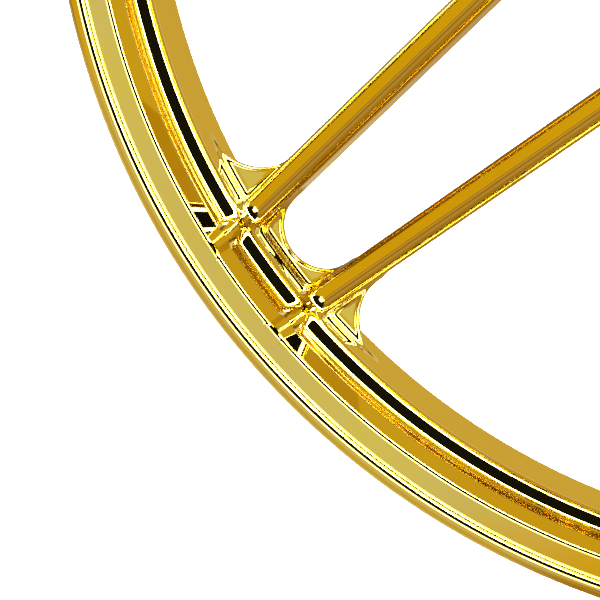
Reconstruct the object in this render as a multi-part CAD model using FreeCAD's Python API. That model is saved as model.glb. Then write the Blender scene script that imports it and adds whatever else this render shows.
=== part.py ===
"""Cast spoked front wheel for a motorcycle, 21 x 3.50 rim, with its bearings, axle spacers and tyre valve.

Millimetres. The origin is the wheel's centre, the wheel turns about Y, Z is up, X is forward,
so +Y is the left side. A place in the wheel's plane is (X, Z), and its polar angle runs from +X to +Z.
Each function makes one piece of the wheel, and the last section writes one STEP file for each piece.
"""
import FreeCAD, Part
import os
from math import cos, pi, radians, sin, sqrt, tan

Vector = FreeCAD.Vector
LEFT = 1
RIGHT = -1

# ---------------------------------------------------------------- driving dimensions

# Rim, 21 x 3.50 MT: bead seat diameter 538.2, flange 14 high, 88.9 between the flanges
BEAD_SEAT_RADIUS = 538.2 / 2
FLANGE_HEIGHT = 14.0
RIM_RADIUS = BEAD_SEAT_RADIUS + FLANGE_HEIGHT
INSIDE_HALF_WIDTH = 88.9 / 2
BEAD_TAPER = tan(radians(5.0))
BEAD_SEAT_INNER_Y = 29.5
WELL_HALF_WIDTH = 22.0
WELL_RADIUS = 261.0
WELL_WALL = 4.0
FLOOR_RADIUS = WELL_RADIUS - WELL_WALL
FLOOR_HALF_WIDTH = 30.0
CHANNEL_WALL_Y = 33.0
CHANNEL_RADIUS = 263.9
CHANNEL_CONCAVE = 3.5
CHANNEL_CONVEX = 3.0
LIP_RADIUS = 3.05
SIDE_FACE_Y = 50.9
SIDE_FACE_INNER_RADIUS = 270.3
SIDE_FACE_DISH = 0.7
EDGE_RADIUS = 1.2
SIDE_CORNER_RADIUS = 264.6
SIDE_CORNER_Y = 45.4

# Spokes: five pairs, each spoke a straight bar that passes the wheel's centre at a distance.
# A heading is the polar angle in which the bar runs outward. An offset is counted to the bar's left.
PAIR_COUNT = 5
SPOKE_HEADINGS = (223.87, 214.69)
SPOKE_OFFSETS = (-51.7, 27.9)
SPOKE_WIDTH_HUB = 12.4
SPOKE_WIDTH_RIM = 10.6
SPOKE_HALF_DEPTH_HUB = 22.0
SPOKE_HALF_DEPTH_RIM = 26.0
SPOKE_CROWN = 3.4
SPOKE_START_RADIUS = 54.0
PAIR_MIDDLE = 204.0

# Rib that carries each spoke's front and back over the rim's side channel
RIB_WIDTH = 6.4
RIB_FOOT_RADIUS = 243.0
RIB_HOLLOW_RADIUS = 255.5
RIB_HOLLOW_Y = 33.0
RIB_TOP_RADIUS = 268.0
RIB_TOP_Y = 47.0

# Webs between spoke and rim, in the wheel's middle plane
WEB_HALF_THICKNESS = 3.5
WEB_EDGE_RADIUS = 19.2
PAIR_WEB_EDGE_RADIUS = 15.47

# Hub
HUB_RING_RADIUS = 60.0
HUB_RING_HALF_WIDTH = 22.0
HUB_NECK_RADIUS = 48.0
HUB_FLANGE_RADIUS = 52.0
HUB_HALF_WIDTH = 50.0
HUB_CAVITY_RADIUS = 45.5
HUB_CAVITY_HALF_WIDTH = 19.0
PILOT_RADIUS = 28.0
PILOT_LENGTH = 4.0
DISC_BOLT_COUNT = 5
DISC_BOLT_CIRCLE = 82.55
DISC_BOLT_HOLE_RADIUS = 4.0
DISC_BOLT_HOLE_DEPTH = 18.0
DISC_BOLT_TIP_DEPTH = 2.0
DISC_BOLT_FIRST_ANGLE = 90.0

# Bearings 25 x 52 x 15
AXLE_RADIUS = 12.5
BEARING_OUTER_RADIUS = 26.0
BEARING_WIDTH = 15.0
BEARING_INNER_Y = 27.0
BEARING_OUTER_Y = BEARING_INNER_Y + BEARING_WIDTH
BEARING_SHOULDER_RADIUS = 23.0
INNER_LAND_RADIUS = 16.1
OUTER_LAND_RADIUS = 22.7
BALL_COUNT = 9
BALL_RADIUS = 7.938 / 2
BALL_CIRCLE_RADIUS = 39.04 / 2
RACE_CLEARANCE = 0.06
CAGE_HALF_WIDTH = 4.6
CAGE_HALF_HEIGHT = 1.4
POCKET_CLEARANCE = 0.08
SEAL_THICKNESS = 0.9
SEAL_RECESS = 0.4
RUNNING_CLEARANCE = 0.08

# Pieces round the axle
SPACER_TUBE_RADIUS = 16.0
COLLAR_RADIUS = 17.0
COLLAR_FLANGE_RADIUS = 24.0
COLLAR_OUTER_Y = 62.0
COLLAR_FLANGE_Y = 56.5
DUST_SEAL_INNER_Y = 44.6
DUST_SEAL_OUTER_Y = 50.6
RING_GROOVE_RADIUS = 27.2
RETAINING_RING_THICKNESS = 1.5
RETAINING_RING_INNER_RADIUS = 22.0
RETAINING_RING_GAP = 50.0

# Tyre valve, at the middle of one wide gap between the spokes
VALVE_ANGLE = 252.7
VALVE_HOLE_RADIUS = 5.0
VALVE_STEM_RADIUS = 3.85
VALVE_STEM_TOP = 31.0
VALVE_HEAD_RADIUS = 8.0
VALVE_HEAD_THICKNESS = 2.4
GROMMET_RADIUS = 8.6
GROMMET_THICKNESS = 2.2
GROMMET_CLEARANCE = 0.25
GROMMET_NECK_TOP = -0.4
VALVE_WASHER_RADIUS = 8.0
VALVE_WASHER_THICKNESS = 1.2
VALVE_WASHER_LOW = 0.15
VALVE_NUT_ACROSS_FLATS = 12.0
VALVE_NUT_HEIGHT = 5.0
CORE_BORE_RADIUS = 2.6
CORE_DEPTH = 24.0
AIR_PASSAGE_RADIUS = 1.6
CORE_SLEEVE_BORE = 1.45
CORE_COLLAR_BORE = 0.8
CORE_COLLAR_THICKNESS = 2.0
CORE_SEAT_DROP = 2.4
CORE_SLEEVE_TOP = VALVE_STEM_TOP - 1.5
CORE_SLEEVE_BOTTOM = VALVE_STEM_TOP - CORE_DEPTH + 7.5
CORE_SHELF_THICKNESS = 0.45
PIN_RADIUS = 0.72
PIN_SEAL_RADIUS = 2.2
PIN_LEDGE_TOP = CORE_SLEEVE_TOP - CORE_COLLAR_THICKNESS - 0.15
PIN_LEDGE_THICKNESS = 0.6
PIN_LEDGE_RADIUS = 1.3
SPRING_GAP = 0.05
SPRING_WIRE_RADIUS = 0.2
SPRING_COIL_RADIUS = 1.1
SPRING_TURNS = 7
CAP_RADIUS = 5.4
CAP_HEIGHT = 11.0
CAP_ROOF = 2.0
CAP_SKIRT_TOP_GAP = 0.6



# ---------------------------------------------------------------- shared shapes

def in_wheel_plane(radius, angle, y=0.0):
    """Point at a radius and polar angle in degrees round the wheel's axis."""
    return Vector(radius * cos(radians(angle)), y, radius * sin(radians(angle)))


def turned_about_axle(shape, angle):
    """Copy of a shape with its polar angle raised by angle degrees."""
    copy = shape.copy()
    copy.rotate(Vector(0, 0, 0), Vector(0, 1, 0), -angle)
    return copy


def mirrored_sides(shape):
    """Copy of a shape on the wheel's other side."""
    return shape.mirror(Vector(0, 0, 0), Vector(0, 1, 0))


def section_point(radius, y):
    """Point of a half section in the plane of X and Y, ready to be spun about Y."""
    return Vector(radius, y, 0)


def line(start, end):
    return Part.LineSegment(start, end).toShape()


def arc(start, middle, end):
    return Part.Arc(start, middle, end).toShape()


def corner_arc(start, end, centre):
    """Short arc from start to end round a centre."""
    radius = (start - centre).Length
    outward = (start + end) * 0.5 - centre
    middle = centre + outward * (radius / outward.Length)
    return arc(start, middle, end)


def spun(edges):
    """Solid of revolution about Y from a closed outline in the plane of X and Y."""
    face = Part.Face(Part.Wire(edges))
    return face.revolve(Vector(0, 0, 0), Vector(0, 1, 0), 360)


def spun_polygon(points):
    """Solid of revolution about Y from (radius, y) corners."""
    corners = [section_point(*p) for p in points]
    return spun(Part.makePolygon(corners + corners[:1]).Edges)


def tube(inner, outer, y_from, y_to):
    """Round tube about Y between two planes."""
    return spun_polygon([(inner, y_from), (outer, y_from), (outer, y_to), (inner, y_to)])


def prism(corners, direction):
    """Solid swept from a closed polygon."""
    return Part.Face(Part.makePolygon(corners + corners[:1])).extrude(direction)


def joined(shapes):
    """One solid from overlapping shapes."""
    whole = shapes[0].multiFuse(shapes[1:])
    return whole.removeSplitter()


# ---------------------------------------------------------------- rim

def rim_side_edges():
    """Outline of the left half of the rim's section, from the well round the flange to the hub side."""
    seat_inner = BEAD_SEAT_RADIUS - (INSIDE_HALF_WIDTH - BEAD_SEAT_INNER_Y) * BEAD_TAPER
    seat_fillet = 2.5
    curl = LIP_RADIUS * 2 + 0.5
    lip_centre = section_point(RIM_RADIUS - LIP_RADIUS, INSIDE_HALF_WIDTH + curl)
    well = section_point(WELL_RADIUS, 0)
    well_end = section_point(WELL_RADIUS, WELL_HALF_WIDTH)
    seat_start = section_point(seat_inner, BEAD_SEAT_INNER_Y)
    seat_end = section_point(BEAD_SEAT_RADIUS - seat_fillet * BEAD_TAPER, INSIDE_HALF_WIDTH - seat_fillet)
    fillet_centre = seat_end + Vector(seat_fillet, 0, 0)
    wall_start = section_point(seat_end.x + seat_fillet, INSIDE_HALF_WIDTH)
    wall_end = section_point(RIM_RADIUS - curl, INSIDE_HALF_WIDTH)
    curl_centre = section_point(RIM_RADIUS - curl, INSIDE_HALF_WIDTH + curl)
    lip_top = section_point(RIM_RADIUS, INSIDE_HALF_WIDTH + curl)
    lip_front = lip_centre + Vector(0, LIP_RADIUS, 0)
    lip_side = lip_centre + Vector(LIP_RADIUS, LIP_RADIUS, 0) * (1 / sqrt(2))
    lip_foot = section_point(lip_centre.x - LIP_RADIUS, SIDE_FACE_Y)
    lip_foot_middle = lip_centre + Vector(-LIP_RADIUS * 0.75, LIP_RADIUS * 0.62, 0)
    face_end = section_point(SIDE_FACE_INNER_RADIUS, SIDE_FACE_Y - SIDE_FACE_DISH)
    edge_end = section_point(SIDE_FACE_INNER_RADIUS - EDGE_RADIUS, face_end.y - EDGE_RADIUS * 0.8)
    edge_middle = section_point(SIDE_FACE_INNER_RADIUS - EDGE_RADIUS * 0.7, face_end.y - EDGE_RADIUS * 0.25)
    corner = section_point(SIDE_CORNER_RADIUS, SIDE_CORNER_Y)
    channel_start = section_point(CHANNEL_RADIUS, SIDE_CORNER_Y - 1.0)
    channel_end = section_point(CHANNEL_RADIUS, CHANNEL_WALL_Y + CHANNEL_CONCAVE)
    wall_out = section_point(CHANNEL_RADIUS - CHANNEL_CONCAVE, CHANNEL_WALL_Y)
    concave_centre = section_point(CHANNEL_RADIUS - CHANNEL_CONCAVE, CHANNEL_WALL_Y + CHANNEL_CONCAVE)
    wall_in = section_point(FLOOR_RADIUS + CHANNEL_CONVEX, CHANNEL_WALL_Y)
    floor_end = section_point(FLOOR_RADIUS, FLOOR_HALF_WIDTH)
    convex_centre = section_point(FLOOR_RADIUS + CHANNEL_CONVEX, CHANNEL_WALL_Y - CHANNEL_CONVEX)
    floor = section_point(FLOOR_RADIUS, 0)
    return [
        line(well, well_end),
        line(well_end, seat_start),
        line(seat_start, seat_end),
        corner_arc(seat_end, wall_start, fillet_centre),
        line(wall_start, wall_end),
        corner_arc(wall_end, lip_top, curl_centre),
        arc(lip_top, lip_side, lip_front),
        arc(lip_front, lip_foot_middle, lip_foot),
        line(lip_foot, face_end),
        arc(face_end, edge_middle, edge_end),
        line(edge_end, corner),
        line(corner, channel_start),
        line(channel_start, channel_end),
        corner_arc(channel_end, wall_out, concave_centre),
        line(wall_out, wall_in),
        corner_arc(wall_in, floor_end, convex_centre),
        line(floor_end, floor),
        line(floor, well),
    ]


def rim():
    """Drop-centre rim, the same on both sides."""
    left_half = spun(rim_side_edges())
    return left_half.fuse(mirrored_sides(left_half))


# ---------------------------------------------------------------- spokes and webs

def spoke_axes(which):
    """Foot point, outward direction and left-hand direction of one spoke of the first pair."""
    heading = SPOKE_HEADINGS[which]
    outward = in_wheel_plane(1, heading)
    left = in_wheel_plane(1, heading + 90)
    return left * SPOKE_OFFSETS[which], outward, left


def run_to_radius(which, radius):
    """Distance along a spoke from its foot point to a radius round the axle."""
    return sqrt(radius ** 2 - SPOKE_OFFSETS[which] ** 2)


def spoke_section(which, run, width, half_depth):
    """Closed section across a spoke: two flat flanks with a crowned front and back."""
    foot, outward, left = spoke_axes(which)
    centre = foot + outward * run
    flank = left * (width / 2)
    crest = Vector(0, half_depth, 0)
    shoulder = Vector(0, half_depth - SPOKE_CROWN, 0)
    edges = [
        line(centre + flank - shoulder, centre + flank + shoulder),
        arc(centre + flank + shoulder, centre + crest, centre - flank + shoulder),
        line(centre - flank + shoulder, centre - flank - shoulder),
        arc(centre - flank - shoulder, centre - crest, centre + flank - shoulder),
    ]
    return Part.Wire(edges)


def spoke_bar(which):
    """Straight tapered bar from inside the hub's ring to inside the rim's wall."""
    start = run_to_radius(which, SPOKE_START_RADIUS)
    end = run_to_radius(which, FLOOR_RADIUS + WELL_WALL / 2)
    hub_end = spoke_section(which, start, SPOKE_WIDTH_HUB, SPOKE_HALF_DEPTH_HUB)
    rim_end = spoke_section(which, end, SPOKE_WIDTH_RIM, SPOKE_HALF_DEPTH_RIM)
    return Part.makeLoft([hub_end, rim_end], True, True)


def spoke_rib(which):
    """Rib on the left side of the rim that flares from the spoke's front up to the side face."""
    foot, outward, left = spoke_axes(which)

    def place(radius, y):
        return foot + outward * run_to_radius(which, radius) - left * (RIB_WIDTH / 2) + Vector(0, y, 0)

    wall_radius = FLOOR_RADIUS + WELL_WALL / 2
    seat_back_radius = CHANNEL_RADIUS + 2
    toe = place(RIB_FOOT_RADIUS, SPOKE_HALF_DEPTH_RIM)
    top = place(RIB_TOP_RADIUS, RIB_TOP_Y)
    hollow = place(RIB_HOLLOW_RADIUS, RIB_HOLLOW_Y)
    heel = place(seat_back_radius, SIDE_CORNER_Y - 4)
    step = place(seat_back_radius, CHANNEL_WALL_Y)
    well_side = place(wall_radius, WELL_HALF_WIDTH)
    inner = place(wall_radius, 0)
    root = place(RIB_FOOT_RADIUS, 0)
    edges = [
        arc(toe, hollow, top),
        line(top, heel),
        line(heel, step),
        line(step, well_side),
        line(well_side, inner),
        line(inner, root),
        line(root, toe),
    ]
    return Part.Face(Part.Wire(edges)).extrude(left * RIB_WIDTH)


def line_offset_point(which, offset, radius):
    """Point at a radius on the line that runs beside a spoke's centre line at an offset to its left."""
    foot, outward, left = spoke_axes(which)
    shifted = foot + left * offset
    return shifted + outward * sqrt(radius ** 2 - shifted.Length ** 2)


def web_block(corners, edge_centre, edge_radius):
    """Flat web with the given corners, cut back to a round free edge."""
    plate = prism(corners, Vector(0, 2 * WEB_HALF_THICKNESS, 0))
    plate.translate(Vector(0, -WEB_HALF_THICKNESS, 0))
    cutter = Part.makeCylinder(edge_radius, 40, edge_centre - Vector(0, 20, 0), Vector(0, 1, 0))
    return plate.cut(cutter)


def outer_web(which, side):
    """Web on the side of a spoke that faces a wide gap; side is +1 on the spoke's left."""
    flank = side * SPOKE_WIDTH_RIM / 2
    centre_radius = FLOOR_RADIUS - WEB_EDGE_RADIUS + 0.2
    edge_centre = line_offset_point(which, flank + side * WEB_EDGE_RADIUS, centre_radius)
    on_flank = line_offset_point(which, 0, centre_radius)
    in_wall = line_offset_point(which, 0, FLOOR_RADIUS + WELL_WALL / 2)
    beyond = edge_centre * ((FLOOR_RADIUS + WELL_WALL / 2) / edge_centre.Length)
    return web_block([on_flank, in_wall, beyond, edge_centre], edge_centre, WEB_EDGE_RADIUS)


def pair_web():
    """Web that fills the outer end of the gap inside a pair, with one round free edge."""
    wall_radius = FLOOR_RADIUS + WELL_WALL / 2
    first_foot, first_out, first_left = spoke_axes(0)
    second_foot, second_out, second_left = spoke_axes(1)
    reach = SPOKE_WIDTH_RIM / 2 + PAIR_WEB_EDGE_RADIUS
    first = first_foot + first_left * reach
    second = second_foot - second_left * reach
    across = first_out.x * second_out.z - first_out.z * second_out.x
    between = second - first
    run = (between.x * second_out.z - between.z * second_out.x) / across
    edge_centre = first + first_out * run
    start_radius = edge_centre.Length
    corners = [
        line_offset_point(0, 0, start_radius),
        line_offset_point(0, 0, wall_radius),
        edge_centre * (wall_radius / edge_centre.Length),
        line_offset_point(1, 0, wall_radius),
        line_offset_point(1, 0, start_radius),
        edge_centre,
    ]
    return web_block(corners, edge_centre, PAIR_WEB_EDGE_RADIUS)


def pair_sector():
    """Wedge of the wheel that belongs to the first pair, bounded halfway to its neighbours."""
    reach = RIM_RADIUS * 1.5
    half_angle = 180 / PAIR_COUNT
    corners = [
        Vector(0, -RIM_RADIUS, 0),
        in_wheel_plane(reach, PAIR_MIDDLE - half_angle, -RIM_RADIUS),
        in_wheel_plane(reach, PAIR_MIDDLE + half_angle, -RIM_RADIUS),
    ]
    return prism(corners, Vector(0, 2 * RIM_RADIUS, 0))


def spoke_pair():
    """All that stands between hub and rim in the first pair's sector, with the feet of the neighbours' spokes."""
    pieces = [turned_about_axle(spoke_bar(1), -360 / PAIR_COUNT), turned_about_axle(spoke_bar(0), 360 / PAIR_COUNT)]
    for which in range(len(SPOKE_HEADINGS)):
        pieces.append(spoke_bar(which))
        rib = spoke_rib(which)
        pieces.append(rib)
        pieces.append(mirrored_sides(rib))
    pieces.append(outer_web(0, -1))
    pieces.append(outer_web(1, 1))
    pieces.append(pair_web())
    return joined(pieces).common(pair_sector())


# ---------------------------------------------------------------- hub and casting

def hub_blank():
    """Outer shape of the hub, with a pilot on each end for a brake disc."""
    half = [
        (HUB_RING_RADIUS, 0), (HUB_RING_RADIUS, HUB_RING_HALF_WIDTH - 3),
        (HUB_RING_RADIUS - 3, HUB_RING_HALF_WIDTH), (HUB_NECK_RADIUS + 2, HUB_RING_HALF_WIDTH + 3),
        (HUB_NECK_RADIUS, HUB_RING_HALF_WIDTH + 6), (HUB_NECK_RADIUS, HUB_HALF_WIDTH - 16),
        (HUB_FLANGE_RADIUS, HUB_HALF_WIDTH - 12), (HUB_FLANGE_RADIUS, HUB_HALF_WIDTH - 1),
        (HUB_FLANGE_RADIUS - 1, HUB_HALF_WIDTH), (PILOT_RADIUS, HUB_HALF_WIDTH),
        (PILOT_RADIUS, HUB_HALF_WIDTH + PILOT_LENGTH - 0.5),
        (PILOT_RADIUS - 0.5, HUB_HALF_WIDTH + PILOT_LENGTH), (0, HUB_HALF_WIDTH + PILOT_LENGTH),
    ]
    other = [(radius, -y) for radius, y in reversed(half[1:])]
    return spun_polygon(other + half)


def hub_bore():
    """Everything that is bored out of the hub: bearing seats, shoulders, cavity and ring groove."""
    end = HUB_HALF_WIDTH + PILOT_LENGTH + 1
    seat = BEARING_OUTER_RADIUS
    cavity_end = HUB_CAVITY_HALF_WIDTH + 4
    half = [
        (HUB_CAVITY_RADIUS, HUB_CAVITY_HALF_WIDTH), (BEARING_SHOULDER_RADIUS, cavity_end),
        (BEARING_SHOULDER_RADIUS, BEARING_INNER_Y), (seat, BEARING_INNER_Y), (seat, end), (0, end),
    ]
    other = [(radius, -y) for radius, y in reversed(half)]
    bore = spun_polygon(other + half)
    groove = tube(seat - 1, RING_GROOVE_RADIUS, BEARING_OUTER_Y, BEARING_OUTER_Y + RETAINING_RING_THICKNESS)
    return bore.fuse(groove)


def disc_bolt_holes(side):
    """Ring of bolt holes in one end of the hub."""
    holes = []
    for number in range(DISC_BOLT_COUNT):
        angle = DISC_BOLT_FIRST_ANGLE + number * 360 / DISC_BOLT_COUNT
        mouth = in_wheel_plane(DISC_BOLT_CIRCLE / 2, angle, side * (HUB_HALF_WIDTH + 1))
        inward = Vector(0, -side, 0)
        holes.append(Part.makeCylinder(DISC_BOLT_HOLE_RADIUS, DISC_BOLT_HOLE_DEPTH + 1, mouth, inward))
        tip = mouth + inward * (DISC_BOLT_HOLE_DEPTH + 1)
        holes.append(Part.makeCone(DISC_BOLT_HOLE_RADIUS, 0, DISC_BOLT_TIP_DEPTH, tip, inward))
    return holes


def hub():
    """Hub, machined out of the middle of the casting."""
    removed = [hub_bore()] + disc_bolt_holes(LEFT) + disc_bolt_holes(RIGHT)
    return hub_blank().cut(removed)


def rim_ring(whole_rim, y_from, y_to):
    """The part of the rim between two planes across the axle."""
    return whole_rim.common(tube(FLOOR_RADIUS - 10, RIM_RADIUS + 10, min(y_from, y_to), max(y_from, y_to)))


def casting_pieces():
    """The casting, divided where its section changes: hub, spoke pairs, well, bead seats and flanges."""
    whole_rim = rim()
    whole_hub = hub_blank()
    pair = spoke_pair().cut([whole_rim, whole_hub])
    valve_hole = valve_piece(Part.makeCylinder(VALVE_HOLE_RADIUS, 30, Vector(0, 0, -15)))
    parts = {"hub": hub(), "rim_well": rim_ring(whole_rim, -WELL_HALF_WIDTH, WELL_HALF_WIDTH).cut(valve_hole)}
    for number in range(PAIR_COUNT):
        parts["spoke_pair_" + str(number + 1)] = turned_about_axle(pair, number * 360 / PAIR_COUNT)
    for hand, side in (("left", LEFT), ("right", RIGHT)):
        seat_from = side * WELL_HALF_WIDTH
        seat_to = side * INSIDE_HALF_WIDTH
        parts["rim_bead_seat_" + hand] = rim_ring(whole_rim, seat_from, seat_to)
        parts["rim_flange_" + hand] = rim_ring(whole_rim, seat_to, side * RIM_RADIUS)
    return parts


# ---------------------------------------------------------------- bearings

def bearing_ring_section(side, flat_radius, land_radius, recess):
    """Bearing ring without its ball track, with a shallow recess for the seal at both ends."""
    low = BEARING_INNER_Y
    high = BEARING_OUTER_Y
    points = [
        (flat_radius, low), (land_radius + recess, low), (land_radius + recess, low + SEAL_THICKNESS + 0.3),
        (land_radius, low + SEAL_THICKNESS + 0.3), (land_radius, high - SEAL_THICKNESS - 0.3),
        (land_radius + recess, high - SEAL_THICKNESS - 0.3), (land_radius + recess, high), (flat_radius, high),
    ]
    return spun_polygon([(radius, side * y) for radius, y in points])


def bearing_middle(side):
    return side * (BEARING_INNER_Y + BEARING_OUTER_Y) / 2


def ball_track(side):
    """Ring-shaped track that both bearing rings are ground to."""
    middle = Vector(0, bearing_middle(side), 0)
    return Part.makeTorus(BALL_CIRCLE_RADIUS, BALL_RADIUS + RACE_CLEARANCE, middle, Vector(0, 1, 0))


def bearing_inner_ring(side):
    """Inner ring, held still on the axle."""
    return bearing_ring_section(side, AXLE_RADIUS, INNER_LAND_RADIUS, 0).cut(ball_track(side))


def bearing_outer_ring(side):
    """Outer ring, pressed into the hub."""
    return bearing_ring_section(side, BEARING_OUTER_RADIUS, OUTER_LAND_RADIUS, SEAL_RECESS).cut(ball_track(side))


def ball_centres(side):
    return [in_wheel_plane(BALL_CIRCLE_RADIUS, 90 + number * 360 / BALL_COUNT, bearing_middle(side))
            for number in range(BALL_COUNT)]


def bearing_balls(side):
    """Nine steel balls."""
    return Part.makeCompound([Part.makeSphere(BALL_RADIUS, centre) for centre in ball_centres(side)])


def bearing_cage(side):
    """Cage that spaces the balls, a ring with one round pocket drilled towards the axle for each."""
    middle = bearing_middle(side)
    ring = tube(BALL_CIRCLE_RADIUS - CAGE_HALF_HEIGHT, BALL_CIRCLE_RADIUS + CAGE_HALF_HEIGHT,
                middle - CAGE_HALF_WIDTH, middle + CAGE_HALF_WIDTH)
    pockets = []
    for centre in ball_centres(side):
        outward = Vector(centre.x, 0, centre.z) * (1 / BALL_CIRCLE_RADIUS)
        start = centre - outward * (2 * CAGE_HALF_HEIGHT)
        pockets.append(Part.makeCylinder(BALL_RADIUS + POCKET_CLEARANCE, 4 * CAGE_HALF_HEIGHT, start, outward))
    return ring.cut(pockets)


def bearing_seal(side, face_y):
    """Rubber-faced seal held in the outer ring, its lip just clear of the inner ring."""
    inner = INNER_LAND_RADIUS + RUNNING_CLEARANCE
    outer = OUTER_LAND_RADIUS + SEAL_RECESS
    return tube(inner, outer, side * face_y, side * (face_y + SEAL_THICKNESS))


# ---------------------------------------------------------------- pieces round the axle

def spacer_tube():
    """Tube that keeps the two inner rings apart."""
    return tube(AXLE_RADIUS, SPACER_TUBE_RADIUS, -BEARING_INNER_Y, BEARING_INNER_Y)


def axle_collar(side):
    """Collar between an inner ring and the fork leg, with a flange that shields the dust seal."""
    points = [
        (AXLE_RADIUS, BEARING_OUTER_Y), (COLLAR_RADIUS - 1.5, BEARING_OUTER_Y),
        (COLLAR_RADIUS - 1.5, BEARING_OUTER_Y + 1.5), (COLLAR_RADIUS, BEARING_OUTER_Y + 2),
        (COLLAR_RADIUS, COLLAR_FLANGE_Y), (COLLAR_FLANGE_RADIUS - 0.5, COLLAR_FLANGE_Y),
        (COLLAR_FLANGE_RADIUS, COLLAR_FLANGE_Y + 0.5), (COLLAR_FLANGE_RADIUS, COLLAR_FLANGE_Y + 2.5),
        (COLLAR_RADIUS + 1, COLLAR_FLANGE_Y + 3.5), (COLLAR_RADIUS + 1, COLLAR_OUTER_Y - 0.5),
        (COLLAR_RADIUS + 0.5, COLLAR_OUTER_Y), (AXLE_RADIUS, COLLAR_OUTER_Y),
    ]
    return spun_polygon([(radius, side * y) for radius, y in points])


def dust_seal(side):
    """Rubber dust seal pressed into the hub, with a lip that runs on the collar."""
    lip = COLLAR_RADIUS + RUNNING_CLEARANCE
    low = DUST_SEAL_INNER_Y
    high = DUST_SEAL_OUTER_Y
    points = [
        (BEARING_OUTER_RADIUS, low), (BEARING_OUTER_RADIUS, high), (BEARING_OUTER_RADIUS - 2, high),
        (BEARING_OUTER_RADIUS - 3, high - 1.5), (lip + 2, high - 1.5), (lip, high - 0.6), (lip, high - 1.8),
        (lip + 1, high - 3), (BEARING_OUTER_RADIUS - 3, high - 3), (BEARING_OUTER_RADIUS - 3, low),
    ]
    return spun_polygon([(radius, side * y) for radius, y in points])


def retaining_ring():
    """Spring ring in the hub's left groove that keeps the left bearing in, with its gap at the top."""
    low = BEARING_OUTER_Y
    ring = tube(RETAINING_RING_INNER_RADIUS, RING_GROOVE_RADIUS, low, low + RETAINING_RING_THICKNESS)
    reach = RING_GROOVE_RADIUS * 2
    wedge = prism(
        [Vector(0, low - 1, 0), in_wheel_plane(reach, 90 - RETAINING_RING_GAP / 2, low - 1),
         in_wheel_plane(reach, 90 + RETAINING_RING_GAP / 2, low - 1)],
        Vector(0, RETAINING_RING_THICKNESS + 2, 0))
    return ring.cut(wedge)


# ---------------------------------------------------------------- tyre valve
# Each piece is drawn upright on Z, with Z = 0 on the rim's hub side and +Z towards the hub.

def valve_piece(shape):
    """Place an upright valve piece on the rim."""
    placed = shape.copy()
    seat = in_wheel_plane(FLOOR_RADIUS, VALVE_ANGLE)
    inward = in_wheel_plane(-1, VALVE_ANGLE)
    turn = FreeCAD.Rotation(Vector(0, 0, 1), inward)
    placed.Placement = FreeCAD.Placement(seat, turn)
    return placed


def upright_section(points):
    """Solid of revolution about Z from (radius, z) corners."""
    corners = [Vector(radius, 0, z) for radius, z in points]
    face = Part.Face(Part.makePolygon(corners + corners[:1]))
    return face.revolve(Vector(0, 0, 0), Vector(0, 0, 1), 360)


def valve_stem():
    """Metal stem: a head inside the tyre, a shank through the rim and a bore for the core."""
    head_top = -WELL_WALL - GROMMET_THICKNESS
    head_bottom = head_top - VALVE_HEAD_THICKNESS
    core_floor = VALVE_STEM_TOP - CORE_DEPTH
    return upright_section([
        (AIR_PASSAGE_RADIUS, head_bottom), (VALVE_HEAD_RADIUS, head_bottom), (VALVE_HEAD_RADIUS, head_top),
        (VALVE_STEM_RADIUS, head_top), (VALVE_STEM_RADIUS, VALVE_STEM_TOP - 0.5),
        (VALVE_STEM_RADIUS - 0.5, VALVE_STEM_TOP), (CORE_BORE_RADIUS, VALVE_STEM_TOP),
        (CORE_BORE_RADIUS, core_floor), (AIR_PASSAGE_RADIUS, core_floor - 1),
    ])


def valve_grommet():
    """Rubber grommet that seals the rim's valve hole on the tyre side."""
    low = -WELL_WALL - GROMMET_THICKNESS
    shoulder = -WELL_WALL - GROMMET_CLEARANCE
    return upright_section([
        (VALVE_STEM_RADIUS, low), (GROMMET_RADIUS, low), (GROMMET_RADIUS, shoulder), (VALVE_HOLE_RADIUS, shoulder),
        (VALVE_HOLE_RADIUS, GROMMET_NECK_TOP), (VALVE_STEM_RADIUS, GROMMET_NECK_TOP),
    ])


def valve_washer():
    """Steel washer on the rim's hub side."""
    low = VALVE_WASHER_LOW
    high = VALVE_WASHER_LOW + VALVE_WASHER_THICKNESS
    return upright_section([
        (VALVE_STEM_RADIUS, low), (VALVE_WASHER_RADIUS, low), (VALVE_WASHER_RADIUS, high), (VALVE_STEM_RADIUS, high),
    ])


def valve_nut():
    """Hexagon nut that clamps the stem, its top corners turned off."""
    low = VALVE_WASHER_LOW + VALVE_WASHER_THICKNESS
    corner_radius = VALVE_NUT_ACROSS_FLATS / sqrt(3)
    corners = [Vector(corner_radius * cos(k * pi / 3), corner_radius * sin(k * pi / 3), low) for k in range(6)]
    hexagon = prism(corners, Vector(0, 0, VALVE_NUT_HEIGHT))
    high = low + VALVE_NUT_HEIGHT
    turned = upright_section([
        (VALVE_STEM_RADIUS, low), (corner_radius + 0.1, low), (corner_radius + 0.1, high - 0.6),
        (VALVE_NUT_ACROSS_FLATS / 2, high), (VALVE_STEM_RADIUS, high),
    ])
    return hexagon.common(turned)


def core_sleeve():
    """Brass sleeve of the valve core, with a collar near its top that guides the pin and a shelf for the spring."""
    collar_low = CORE_SLEEVE_TOP - CORE_COLLAR_THICKNESS
    shelf = CORE_SLEEVE_BOTTOM + CORE_SHELF_THICKNESS
    return upright_section([
        (CORE_COLLAR_BORE, CORE_SLEEVE_BOTTOM), (CORE_BORE_RADIUS, CORE_SLEEVE_BOTTOM),
        (CORE_BORE_RADIUS, CORE_SLEEVE_TOP), (CORE_COLLAR_BORE, CORE_SLEEVE_TOP), (CORE_COLLAR_BORE, collar_low),
        (CORE_SLEEVE_BORE, collar_low), (CORE_SLEEVE_BORE, shelf), (CORE_COLLAR_BORE, shelf),
    ])


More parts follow.
